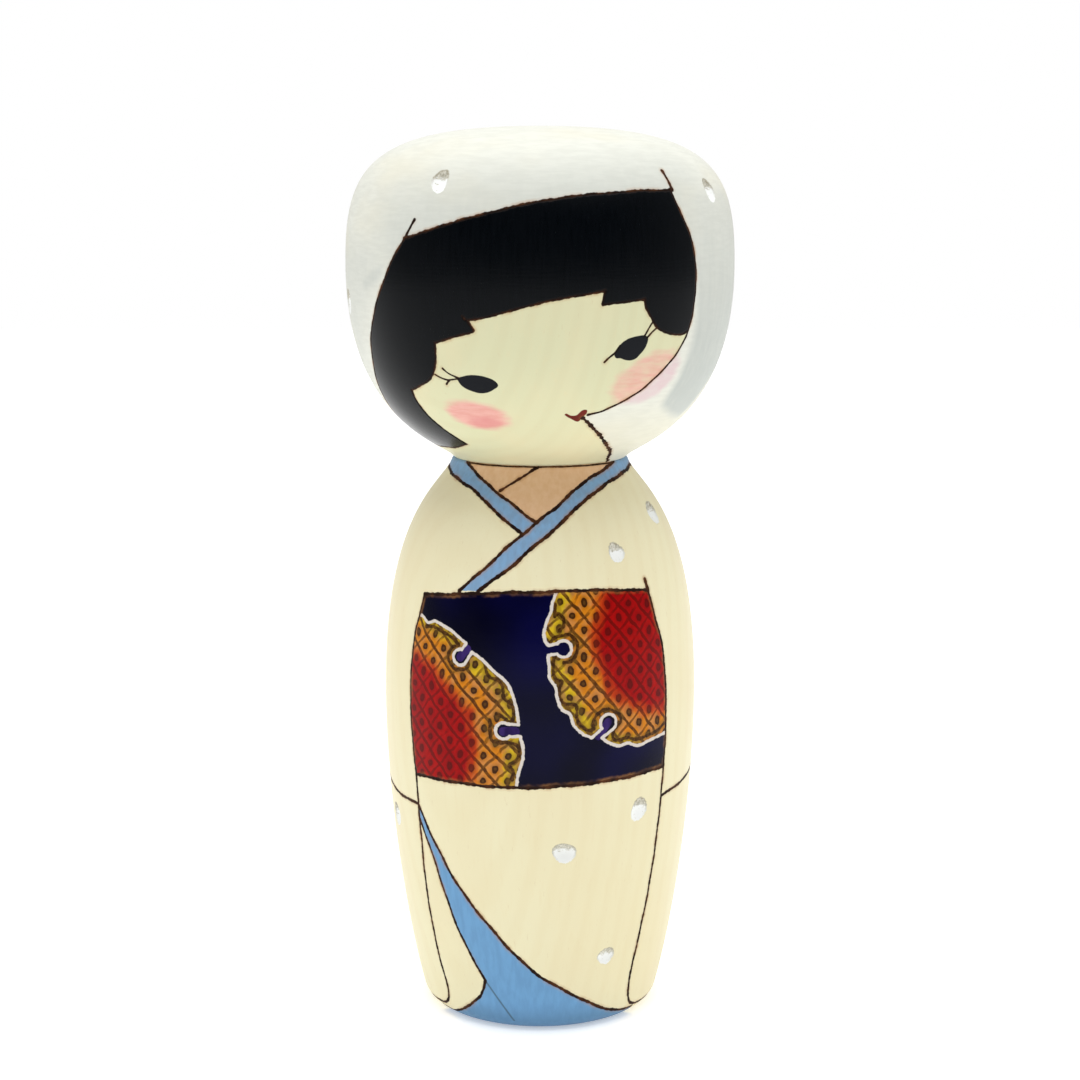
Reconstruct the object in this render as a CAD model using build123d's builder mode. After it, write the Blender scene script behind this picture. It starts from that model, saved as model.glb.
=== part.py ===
from build123d import *
import os
from math import cos, radians, sin, sqrt

os.makedirs("parts", exist_ok=True)

# A kokeshi doll: a turned head that turns on a turned body, joined by a wooden peg.
# Millimetres. +Z is up, the face looks along -Y, and the origin is the middle of the flat base.

# Driving dimensions
total_height = 136.0
neck_height = 86.2  # the flat seat where the head rests on the body
neck_radius = 13.4
base_radius = 17.75  # where the side would meet the base without its rounding
body_radius = 24.15
body_widest_at = 49.5
head_radius = 29.45
head_widest_at = 115.0
base_rounding = 3.1
seat_edge_break = 0.25  # softens both edges of the seat, which leaves a thin dark line

# Neck peg and its two blind holes
peg_radius = 5.0
peg_in_head = 12.0
peg_in_body = 16.0
peg_tip_gap = 1.0
peg_chamfer = 0.6
running_clearance = 0.05  # radial, between the peg and the hole in the body

# Snow: shallow round scoops, all cut with one ball-nosed gouge.
# Each is the angle from the middle of the face (towards +X), the height and the width.
gouge_radius = 2.5
body_snow = [
    (66, 78.4, 3.2),
    (33, 73.9, 2.7),
    (39, 35.1, 3.1),
    (9, 29.7, 3.4),
    (29, 12.0, 2.7),
    (-72, 31.1, 3.2),
    (112, 52.0, 3.0),
    (-106, 58.0, 3.2),
    (95, 20.0, 2.8),
    (148, 28.0, 3.3),
    (-142, 17.0, 2.9),
    (-160, 76.5, 2.8),
    (128, 75.0, 3.0),
]
head_snow = [
    (-31, 127.8, 2.9),
    (62, 126.5, 3.0),
    (-78, 110.0, 3.3),
    (97, 108.0, 3.0),
    (128, 122.0, 2.8),
    (-122, 120.0, 3.1),
    (-148, 102.0, 3.0),
    (158, 107.0, 3.3),
    (178, 125.5, 2.9),
]


def curve_at(curve, height):
    """The place along a rising outline, from 0 to 1, where it reaches a height."""
    low, high = 0.0, 1.0
    for _ in range(40):
        middle = (low + high) / 2
        if (curve @ middle).Y < height:
            low = middle
        else:
            high = middle
    return low


def gouge_centre(curves, angle, height, width):
    """Where the ball of the gouge stands to cut one scoop of this width."""
    curve = next(c for c in curves if (c @ 0).Y <= height <= (c @ 1).Y)
    at = curve_at(curve, height)
    surface = curve @ at
    along = curve % at
    stand_off = sqrt(gouge_radius**2 - (width / 2) ** 2)
    radius = surface.X + along.Y * stand_off
    level = surface.Y - along.X * stand_off
    return (radius * sin(radians(angle)), -radius * cos(radians(angle)), level)


# Body: turned, with a slim waist at the base, the fullest part under the arms and a small neck
with BuildPart() as body:
    with BuildSketch(Plane.XZ):
        with BuildLine():
            Line((0, 0), (base_radius, 0))
            skirt = Bezier(
                (base_radius, 0),
                (base_radius + 2.1, 5.9),
                (body_radius, 28.55),
                (body_radius, body_widest_at),
            )
            shoulder = Bezier(
                (body_radius, body_widest_at),
                (body_radius, neck_height - 7.0),
                (neck_radius + 1.0, neck_height - 4.2),
                (neck_radius, neck_height),
            )
            Line((neck_radius, neck_height), (0, neck_height))
            Line((0, neck_height), (0, 0))
        make_face()
    revolve(axis=Axis.Z)
    rims = body.edges().filter_by(GeomType.CIRCLE).sort_by(Axis.Z)
    fillet(rims[0], base_rounding)
    fillet(body.edges().filter_by(GeomType.CIRCLE).sort_by(Axis.Z)[-1], seat_edge_break)
    with Locations((0, 0, neck_height)):
        Hole(peg_radius + running_clearance, depth=peg_in_body + peg_tip_gap)
    with Locations(*[gouge_centre([skirt, shoulder], *snow) for snow in body_snow]):
        Sphere(gouge_radius, mode=Mode.SUBTRACT)

body.part.label = "body"
export_step(body.part, "parts/body.step")

# Head: turned, wider than the body, with a broad low dome and a flat underside
with BuildPart() as head:
    with BuildSketch(Plane.XZ):
        with BuildLine():
            Line((0, neck_height), (neck_radius, neck_height))
            cheek = Bezier(
                (neck_radius, neck_height),
                (neck_radius + 0.2, neck_height + 1.9),
                (head_radius, neck_height + 4.3),
                (head_radius, head_widest_at),
            )
            dome = Bezier(
                (head_radius, head_widest_at),
                (head_radius, total_height - 6.5),
                (head_radius - 3.0, total_height),
                (0, total_height),
            )
            Line((0, total_height), (0, neck_height))
        make_face()
    revolve(axis=Axis.Z)
    fillet(head.edges().filter_by(GeomType.CIRCLE).sort_by(Axis.Z)[0], seat_edge_break)
    with BuildSketch(Plane.XY.offset(neck_height)):
        Circle(peg_radius)
    extrude(amount=peg_in_head, mode=Mode.SUBTRACT)
    with Locations(*[gouge_centre([cheek, dome], *snow) for snow in head_snow]):
        Sphere(gouge_radius, mode=Mode.SUBTRACT)

head.part.label = "head"
export_step(head.part, "parts/head.step")

# Neck peg: glued into the head, turns in the body, with chamfered ends
with BuildPart() as neck_peg:
    with BuildSketch(Plane.XY.offset(neck_height - peg_in_body)):
        Circle(peg_radius)
    extrude(amount=peg_in_body + peg_in_head)
    chamfer(neck_peg.edges().filter_by(GeomType.CIRCLE), peg_chamfer)

neck_peg.part.label = "neck_peg"
export_step(neck_peg.part, "parts/neck_peg.step")

for piece in (body.part, head.part, neck_peg.part):
    print(piece.label, "volume", round(piece.volume), "valid", piece.is_valid)
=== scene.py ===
"""A kokeshi doll: the turned head and body, painted and burned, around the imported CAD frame.

Drawing places are (angle, height): degrees round from the middle of the face towards +X, and
millimetres above the base. Meshes are made in millimetres and scaled to metres at the end.
"""

import math

import bmesh
import bpy
import numpy as np
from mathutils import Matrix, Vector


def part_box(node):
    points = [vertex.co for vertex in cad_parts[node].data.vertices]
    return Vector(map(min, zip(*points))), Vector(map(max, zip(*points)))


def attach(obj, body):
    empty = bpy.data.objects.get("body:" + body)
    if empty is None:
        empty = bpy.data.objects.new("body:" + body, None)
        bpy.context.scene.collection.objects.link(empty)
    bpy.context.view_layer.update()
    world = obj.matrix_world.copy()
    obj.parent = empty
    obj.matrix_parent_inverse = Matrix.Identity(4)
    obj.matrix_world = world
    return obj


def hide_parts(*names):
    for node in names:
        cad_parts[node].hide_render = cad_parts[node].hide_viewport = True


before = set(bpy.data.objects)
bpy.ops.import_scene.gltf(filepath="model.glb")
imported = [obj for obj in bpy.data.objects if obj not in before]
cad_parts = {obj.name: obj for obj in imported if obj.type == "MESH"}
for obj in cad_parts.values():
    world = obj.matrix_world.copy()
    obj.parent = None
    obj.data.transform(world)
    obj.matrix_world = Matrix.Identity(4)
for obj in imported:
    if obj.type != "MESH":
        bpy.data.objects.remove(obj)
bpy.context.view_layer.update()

MM = 0.001

# ---- turned outlines, millimetres
_, body_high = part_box("body")
head_low, head_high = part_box("head")
peg_low, peg_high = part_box("neck_peg")

NECK = head_low.z / MM
TOP = head_high.z / MM
BODY_RADIUS = body_high.x / MM
HEAD_RADIUS = head_high.x / MM
PEG_RADIUS = peg_high.x / MM
PEG_FOOT = peg_low.z / MM
PEG_TOP = peg_high.z / MM
BASE_RADIUS = 17.75
NECK_RADIUS = 13.4
BODY_WIDEST = 49.5
HEAD_WIDEST = 115.0
BASE_ROUNDING = 3.1
SEAT_ROUNDING = 0.25
PEG_CLEARANCE = 0.05
PEG_TIP_GAP = 1.0

SKIRT = [(BASE_RADIUS, 0), (BASE_RADIUS + 2.1, 5.9), (BODY_RADIUS, 28.55), (BODY_RADIUS, BODY_WIDEST)]
SHOULDER = [
    (BODY_RADIUS, BODY_WIDEST), (BODY_RADIUS, NECK - 7.0), (NECK_RADIUS + 1, NECK - 4.2), (NECK_RADIUS, NECK),
]
CHEEK = [
    (NECK_RADIUS, NECK), (NECK_RADIUS + 0.2, NECK + 1.9), (HEAD_RADIUS, NECK + 4.3),
    (HEAD_RADIUS, HEAD_WIDEST),
]
DOME = [(HEAD_RADIUS, HEAD_WIDEST), (HEAD_RADIUS, TOP - 6.5), (HEAD_RADIUS - 3.0, TOP), (0, TOP)]

# Depth of a burned line, and how far in from its edge that depth is reached
GROOVE_DEPTH = 0.08
GROOVE_EDGE = 0.2
# How far off a line or the rim of an area is still measured
REACH = 1.5

# Snow scoops: angle, height, width, and how much taller than wide
GOUGE_RADIUS = 2.5
BODY_SNOW = [
    (66, 78.4, 3.2, 1.1), (33, 73.9, 2.7, 1.15), (39, 35.1, 3.0, 1.25), (9, 29.7, 3.5, 0.95),
    (29, 12.0, 2.8, 1.0), (-72, 31.1, 3.2, 1.1), (112, 52.0, 3.0, 1.1), (-106, 58.0, 3.2, 1.15),
    (95, 20.0, 2.8, 1.0), (148, 28.0, 3.3, 1.1), (-142, 17.0, 2.9, 1.2), (-160, 76.5, 2.8, 1.0),
    (128, 75.0, 3.0, 1.1),
]
HEAD_SNOW = [
    (-31, 127.8, 2.9, 1.2), (62, 126.5, 3.0, 1.25), (-78, 110.0, 3.3, 1.2), (97, 108.0, 3.0, 1.1),
    (128, 122.0, 2.8, 1.0), (-122, 120.0, 3.1, 1.1), (-148, 102.0, 3.0, 1.15), (158, 107.0, 3.3, 1.0),
    (178, 125.5, 2.9, 1.1),
]


def bezier(points, count=240):
    """A cubic Bezier curve through radius and height."""
    t = np.linspace(0, 1, count)[:, None]
    a, b, c, d = (np.array(p, float) for p in points)
    return (1 - t) ** 3 * a + 3 * (1 - t) ** 2 * t * b + 3 * (1 - t) * t**2 * c + t**3 * d


def lengths(path):
    """Distance along a path at each of its points."""
    return np.concatenate([[0], np.cumsum(np.linalg.norm(np.diff(path, axis=0), axis=1))])


def resample(path, step):
    """The same path in nearly even steps, its ends kept."""
    along = lengths(path)
    count = max(2, int(math.ceil(along[-1] / step)) + 1)
    at = np.linspace(0, along[-1], count)
    return np.column_stack([np.interp(at, along, path[:, k]) for k in range(path.shape[1])])


def trimmed(path, start, end):
    """A path without its first and last stretches of these lengths."""
    along = lengths(path)
    keep = (along > start) & (along < along[-1] - end)
    ends = [[np.interp(s, along, path[:, k]) for k in (0, 1)] for s in (start, along[-1] - end)]
    return np.vstack([ends[0], path[keep], ends[1]])


def rounding(before, corner, after):
    """The round arc that eases a corner, between a place before it and one as far after it."""
    t = np.linspace(0, 1, 15)[:, None]
    before, corner, after = (np.array(p, float) for p in (before, corner, after))
    pull = np.linalg.norm(after - before) / (2 * np.linalg.norm(corner - before))
    a, b, c = (1 - t) ** 2, 2 * pull * (1 - t) * t, t**2
    return (a * before + b * corner + c * after) / (a + b + c)


def polyline(*points):
    return np.array(points, float)


def body_outline():
    """Stretches of the body's outline, from the middle of the base to the floor of the peg hole."""
    slope = math.atan2(SKIRT[1][0] - SKIRT[0][0], SKIRT[1][1])
    reach = BASE_ROUNDING * math.tan(math.pi / 4 - slope / 2)
    side = trimmed(np.vstack([bezier(SKIRT), bezier(SHOULDER)[1:]]), reach, SEAT_ROUNDING)
    base = (BASE_RADIUS - reach, 0)
    seat = (NECK_RADIUS - SEAT_ROUNDING, NECK)
    hole = PEG_RADIUS + PEG_CLEARANCE
    floor = PEG_FOOT - PEG_TIP_GAP
    foot = rounding(base, (BASE_RADIUS, 0), side[0])
    lip = rounding(side[-1], (NECK_RADIUS, NECK), seat)
    outer = np.vstack([foot, side[1:-1], lip])
    inner = polyline(seat, (hole, NECK), (hole, floor), (0, floor))
    return polyline((0, 0), base), outer, inner


def head_outline():
    """Stretches of the head's outline, from the ceiling of the peg hole to the middle of the dome."""
    side = trimmed(np.vstack([bezier(CHEEK), bezier(DOME)[1:]]), SEAT_ROUNDING, 0)
    seat = (NECK_RADIUS - SEAT_ROUNDING, NECK)
    lip = rounding(seat, (NECK_RADIUS, NECK), side[0])
    inner = polyline((0, PEG_TOP), (PEG_RADIUS, PEG_TOP), (PEG_RADIUS, NECK), seat)
    return inner, np.vstack([lip, side[1:]])


# ---- drawing on a turned surface
class Turned:
    """A turned piece: the skin of its spun outline, and how drawing places lie on its side."""

    def __init__(self, name, before, side, after, step):
        self.side = side
        rows = [resample(p, 1.6) for p in before] + [resample(side, step)] + [resample(p, 1.6) for p in after]
        outline = np.vstack(rows)
        new_row = np.linalg.norm(np.diff(outline, axis=0), axis=1) > 1e-6
        outline = outline[np.append(True, new_row)]
        self.start = sum(lengths(p)[-1] for p in before)
        self.end = self.start + lengths(side)[-1]
        self.mesh = self.spin(name, outline, int(2 * math.pi * side[:, 0].max() / step))
        self.read()

    def spin(self, name, outline, columns):
        """The outline spun once round the axis. Each point remembers how far along the outline it is."""
        turn = np.radians(np.linspace(-180, 180, columns, endpoint=False))
        radius, height = outline[1:-1, :1], outline[1:-1, 1:]
        ring = np.stack([radius * np.sin(turn), -radius * np.cos(turn), height + 0 * turn], -1)
        point = np.vstack([[(0, 0, outline[0, 1])], ring.reshape(-1, 3), [(0, 0, outline[-1, 1])]])
        index = 1 + np.arange(len(radius) * columns).reshape(-1, columns)
        beside = np.roll(index, -1, axis=1)
        sides = np.stack([index[:-1], beside[:-1], beside[1:], index[1:]], -1).reshape(-1, 4)
        foot = np.column_stack([np.zeros(columns, int), beside[0], index[0]])
        crown = np.column_stack([index[-1], beside[-1], np.full(columns, len(point) - 1)])
        mesh = bpy.data.meshes.new(name)
        mesh.from_pydata(point.tolist(), [], sides.tolist() + foot.tolist() + crown.tolist())
        along = lengths(outline)
        values = np.concatenate([along[:1], np.repeat(along[1:-1], columns), along[-1:]])
        mesh.attributes.new("along", "FLOAT", "POINT")
        mesh.attributes["along"].data.foreach_set("value", values)
        return mesh

    def read(self):
        """Takes the mesh points, their drawing places and the outward direction at each."""
        count = len(self.mesh.vertices)
        point = np.empty(3 * count, np.float32)
        along = np.empty(count, np.float32)
        self.mesh.vertices.foreach_get("co", point)
        self.mesh.attributes["along"].data.foreach_get("value", along)
        self.point = point.reshape(-1, 3).astype(float)
        self.angle = np.degrees(np.arctan2(self.point[:, 0], -self.point[:, 1]))
        self.height = self.point[:, 2]
        self.drawn = (along > self.start - 1e-3) & (along < self.end + 1e-3)
        at = lengths(self.side)
        slope = np.gradient(self.side, at, axis=0)
        rise, spread = (np.interp(along - self.start, at, slope[:, k]) for k in (1, 0))
        turn = np.radians(self.angle)
        self.out = np.column_stack([rise * np.sin(turn), -rise * np.cos(turn), -spread])
        self.out /= np.linalg.norm(self.out, axis=1)[:, None] + 1e-12

    def refine(self, chosen):
        """Halves the mesh along every edge whose two ends are chosen."""
        work = bmesh.new()
        work.from_mesh(self.mesh)
        edges = [e for e in work.edges if chosen[e.verts[0].index] and chosen[e.verts[1].index]]
        bmesh.ops.subdivide_edges(work, edges=edges, cuts=1, use_grid_fill=True)
        work.to_mesh(self.mesh)
        work.free()
        self.read()

    def on_surface(self, path):
        """Points in space for a path of drawing places."""
        radius = np.interp(path[:, 1], self.side[:, 1], self.side[:, 0])
        turn = np.radians(path[:, 0])
        return np.column_stack([radius * np.sin(turn), -radius * np.cos(turn), path[:, 1]])

    def seen_from(self, place):
        """Offset and distance of the mesh points from a drawing place, and its directions across and up."""
        offset = self.point - self.on_surface(np.array([place]))[0]
        distance = np.linalg.norm(offset, axis=1)
        out = self.out[np.argmin(distance)]
        across = np.cross((0, 0, 1), out)
        across /= np.linalg.norm(across)
        return offset, distance, across, np.cross(out, across)

    def nearest(self, path, reach):
        """For each mesh point, its distance to a path and how far along the path that is."""
        line = self.on_surface(path)
        along = lengths(line)
        best = np.full(len(self.point), float(reach))
        where = np.zeros(len(self.point))
        close = np.all((self.point > line.min(0) - reach) & (self.point < line.max(0) + reach), axis=1)
        index = np.flatnonzero(self.drawn & close)
        spot = self.point[index]
        found = np.full(len(index), float(reach) ** 2)
        place = np.zeros(len(index))
        for start, step, begun in zip(line[:-1], np.diff(line, axis=0), along):
            span = float(step @ step)
            if span < 1e-12:
                continue
            near = np.flatnonzero(np.all(np.abs(spot - start) < reach + math.sqrt(span), axis=1))
            offset = spot[near] - start
            t = np.clip(offset @ step / span, 0, 1)
            gap = ((offset - t[:, None] * step) ** 2).sum(1)
            better = gap < found[near]
            found[near[better]] = gap[better]
            place[near[better]] = begun + t[better] * math.sqrt(span)
        best[index] = np.sqrt(found)
        where[index] = place
        return best, where

    def inside(self, outline):
        """True for the mesh points inside a closed outline, whose angles may run on past the back."""
        result = np.zeros(len(self.point), bool)
        low, high = outline.min(0), outline.max(0)
        for turn in (0.0, 360.0):
            x = self.angle + turn
            y = self.height
            index = np.flatnonzero(self.drawn & (x > low[0]) & (x < high[0]) & (y > low[1]) & (y < high[1]))
            x, y = x[index], y[index]
            odd = np.zeros(len(index), bool)
            for (a, b), (c, d) in zip(outline, np.roll(outline, -1, axis=0)):
                if b != d:
                    odd ^= ((b > y) != (d > y)) & (x < (c - a) * (y - b) / (d - b) + a)
            result[index] |= odd
        return result

    def region(self, outline, reach=REACH):
        """Signed distance to a closed outline, positive inside."""
        distance, _ = self.nearest(np.vstack([outline, outline[:1]]), reach)
        return np.where(self.inside(outline), distance, -distance)


def smooth(*points):
    """A drawn line that passes smoothly through a few places."""
    p = np.array(points, float)
    if len(p) == 2:
        return resample(p, 0.5)
    p = np.vstack([2 * p[0] - p[1], p, 2 * p[-1] - p[-2]])
    t = np.linspace(0, 1, 13)[:-1, None]
    spans = []
    for k in range(1, len(p) - 2):
        a, b, c, d = p[k - 1 : k + 3]
        bend, twist = 2 * a - 5 * b + 4 * c - d, 3 * b - a - 3 * c + d
        spans.append(0.5 * (2 * b + (c - a) * t + bend * t**2 + twist * t**3))
    return np.vstack(spans + [p[-2:-1]])


def ring_arc(centre, radius, start, end):
    """A round stretch, anticlockwise in degrees on the flattened surface if end is more than start."""
    turn = np.radians(np.linspace(start, end, 20))
    angle = centre[0] + np.degrees(radius * np.cos(turn) / BODY_RADIUS)
    return np.column_stack([angle, centre[1] + radius * np.sin(turn)])


def wavy(rng, along, size, pitch):
    """An irregular wave along a line."""
    total = np.zeros_like(along)
    for octave in (1.0, 2.3, 4.1):
        total += np.sin(along * octave * 2 * math.pi / pitch + rng.uniform(0, 6.28)) / octave
    return size * total / 1.4


class Strokes:
    """Lines drawn by hand on one turned piece, gathered as one distance field."""

    def __init__(self, turned, seed):
        self.turned = turned
        self.rng = np.random.default_rng(seed)
        self.field = np.full(len(turned.point), REACH)

    def waver(self, path, size):
        """The path with the small wavers of a hand."""
        along = lengths(path * [0.4, 1.0])
        wobble = np.column_stack([wavy(self.rng, along, size * k, 7.0) for k in (2.4, 1.0)])
        ease = np.clip(np.minimum(along, along[-1] - along) / 1.5, 0, 1)[:, None]
        return path + wobble * ease

    def add(self, width, *points, uneven=0.16, path=None, waver=0.06, heavy=0.05):
        """Draws one line. Its width wanders, and it starts and stops with a heavier touch."""
        path = self.waver(smooth(*points) if path is None else path, waver)
        distance, along = self.turned.nearest(path, REACH)
        total = lengths(self.turned.on_surface(path))[-1]
        swell = wavy(self.rng, along, uneven, 3.1)
        half = width / 2 * (1 + swell + wavy(self.rng, along, uneven * 0.8, 1.05))
        touch = np.exp(-((np.minimum(along, total - along) / 0.45) ** 2))
        self.field = np.minimum(self.field, distance - half - heavy * touch)
        return path


def joined(*paths):
    return np.vstack(paths)


# ---- the scoops and the drawing
def snow(turned, scoops):
    """Depth of the gouged snow, distance inside its rims, and place across each scoop, foot to top."""
    rng = np.random.default_rng(5)
    depth = np.zeros(len(turned.point))
    rim = np.full(len(turned.point), -REACH)
    rise = np.zeros(len(turned.point))
    for angle, height, width, stretch in scoops:
        offset, distance, across, up = turned.seen_from((angle, height))
        index = np.flatnonzero(turned.drawn & (distance < 4.0))
        u = offset[index] @ across
        v = offset[index] @ up / stretch
        turn = np.arctan2(v, u)
        uneven = 0.07 * np.sin(2 * turn + rng.uniform(0, 6)) + 0.05 * np.sin(3 * turn + rng.uniform(0, 6))
        half = width / 2
        reach = np.hypot(u, v) / (1 + uneven)
        cut = np.sqrt(np.maximum(GOUGE_RADIUS**2 - reach**2, 0)) - math.sqrt(GOUGE_RADIUS**2 - half**2)
        depth[index] = np.maximum(depth[index], np.where(reach < half, cut, 0))
        rim[index] = np.maximum(rim[index], half - reach)
        rise[index] = np.where(reach < half + 1.2, v / half, rise[index])
    return depth, rim, rise


def draw_body(turned):
    """Every burned line and painted area of the body, as fields at the mesh points."""
    burn = Strokes(turned, 11)
    # Collar: the right band lies over the left one, and both run on round the neck
    left_outer = burn.add(0.5, (-96, 85), (-78, 84.6), (-40, 82.6), (-20, 79.5), (-7.5, 76.9))
    left_inner = burn.add(0.46, (-56, 86.2), (-35, 83.9), (-16, 81.3), (-1.5, 78.5))
    right_inner = burn.add(
        0.5, (57, 86.2), (25.5, 83.7), (6, 80.2), (-1.5, 78.5), (-12, 75.6), (-23, 71.7), (-32, 68.5)
    )
    right_outer = burn.add(
        0.56, (96, 85), (76, 84.9), (42, 83.4), (20, 80.8), (10.5, 78.6), (-2, 75.4), (-12, 72.2),
        (-24, 68.7),
    )
    nape = burn.add(0.5, (96, 85), (130, 84), (180, 83.3), (230, 84), (264, 85))
    burn.add(0.42, (-1, 86.1), (-11, 84.6), (-22, 82.7), uneven=0.2)
    burn.add(0.36, (-55, 86.1), (-30, 86.1), (0, 86.12), (30, 86.1), (56, 86.1), uneven=0.08, waver=0.02)
    # Obi
    top = burn.add(
        0.46, (-49.5, 67.2), (-28, 68.2), (-10, 68.8), (1, 68.9), (16, 69), (32, 68.6), (45.5, 68),
        uneven=0.24,
    )
    burn.add(0.6, (44.8, 69.6), (45.5, 68))
    right = burn.add(
        0.44, (45.5, 68), (47.6, 63.8), (50, 60), (51.2, 54.8), (51.5, 49), (51.4, 44.5), (51, 40.9)
    )
    left = burn.add(
        0.4, (-49.5, 67.2), (-51, 63.5), (-52.6, 60.5), (-53.6, 54.6), (-53.4, 48.8), (-52.4, 43),
        (-51.4, 39.6),
    )
    bottom = burn.add(
        0.48, (-51.4, 39.6), (-35, 39.8), (-8, 39.9), (5, 40.1), (30, 40.5), (51, 40.9), uneven=0.24
    )
    # Sleeves, their cuffs part way down, and their far edges, which hang behind
    burn.add(
        0.46, (-51.4, 39.6), (-51.4, 34.8), (-51.4, 29), (-51.8, 21.9), (-51.2, 15.5), (-49.7, 9), (-48, 5.6),
        (-49, 3.2), (-54, 1.9), (-64, 1.5), (-84, 1.5), (-104, 2.6), (-112, 7),
    )
    burn.add(
        0.46, (51, 40.9), (50.5, 35), (49.4, 26.4), (47.9, 19.4), (45.6, 11.6), (44.7, 6.4), (47, 3.2),
        (51.5, 1.9), (64, 1.4), (84, 1.5), (104, 2.6), (112, 7),
    )
    burn.add(0.5, (-52, 34.9), (-64.7, 35.1), (-77, 35.8), (-92, 38), (-106, 42.5), (-114, 48))
    burn.add(0.5, (51.5, 36.3), (58, 36.7), (65.5, 37), (80, 37.8), (94, 39.6), (106, 43), (114, 48))
    far_edge = [(112, 7), (115, 20), (116.5, 34), (116, 48), (113, 60), (106, 71), (96, 78)]
    for hand in (-1, 1):
        burn.add(0.46, *[(hand * angle, height) for angle, height in far_edge])
    # Underskirt, bared where the kimono opens
    wrap = burn.add(
        0.5, (-51.4, 34.8), (-45.7, 30.9), (-40.8, 27.8), (-36.6, 25.1), (-30, 21.6), (-22, 18), (-13, 14.1),
        (-1.3, 9.9), (14, 6.3), (27.7, 3.5), (40, 1.8), (52, 1.3),
    )
    under = burn.add(
        0.42, (-51.2, 32.5), (-45.8, 27.7), (-41.2, 22.2), (-36.8, 17.1), (-31.7, 12.8), (-24.8, 8.1)
    )
    corner = burn.add(0.44, (-24.8, 8.1), (-27, 6), (-31.2, 4.2), (-45, 1.2), (-58, 0.9))
    # Back of the obi with its box knot, and the kimono's back seam
    back_top = burn.add(0.46, (114, 68), (140, 69), (180, 69.4), (220, 69), (246, 68), uneven=0.35)
    back_bottom = burn.add(0.46, (116.5, 40.4), (145, 40), (180, 39.8), (215, 40), (243.5, 40.4), uneven=0.35)
    knot = burn.add(
        0.5, (158, 67), (180, 68.4), (202, 67), (205.5, 55), (202, 44.5), (180, 42.8), (158, 44.5),
        (154.5, 55), (158, 67),
    )
    burn.add(0.45, (156, 61), (168, 59.6), (180, 59.2), (192, 59.6), (204, 61))
    tail = burn.add(
        0.46, (166, 43.4), (165.5, 38), (165, 32.5), (180, 31.8), (195, 32.5), (194.5, 38), (194, 43.4)
    )
    burn.add(0.32, (180, 83.2), (180.3, 76), (180, 69.8), uneven=0.25)
    burn.add(0.32, (180, 31.6), (180.4, 20), (179.8, 10), (180, 0.8), uneven=0.25)

    fields = {"burn": burn.field}
    above = NECK + 1
    throat = joined(
        [(-56, above)], left_inner, smooth((-1.5, 78.5), (6, 80.2), (25.5, 83.7), (57, 86.2)), [(57, above)]
    )
    band_left = joined([(-96, above)], left_outer, left_inner[::-1], [(-56, above)])
    band_right = joined([(96, above)], right_outer, right_inner[::-1], [(57, above)])
    band_nape = joined(nape, [(264, above), (96, above)])
    skirt = joined(wrap, [(52, -1), (-58, -1)], corner[::-1], under[::-1])
    front = joined(top, right, bottom[::-1], left[::-1])
    back = joined(back_top, back_bottom[::-1])
    fields["skin"] = turned.region(throat)
    fields["collar"] = np.maximum.reduce([turned.region(b) for b in (band_left, band_right, band_nape)])
    fields["underskirt"] = turned.region(skirt)
    fields["fold"] = turned.nearest(smooth((-24.8, 8.1), (-19, 5), (-12.5, 1.6)), REACH)[0] - 0.14
    fields["obi"] = np.maximum.reduce([turned.region(o) for o in (front, back, tail)])
    snow_rings(turned, fields, knot)
    return fields, ("ring", "tongue", "fold", "contour")


def scalloped(turned, outline, edge):
    """Signed distance to a ring's scalloped edge, positive inside its outline."""
    distance, _ = turned.nearest(edge, 12.0)
    return np.where(turned.inside(outline), distance, -distance)


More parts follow.
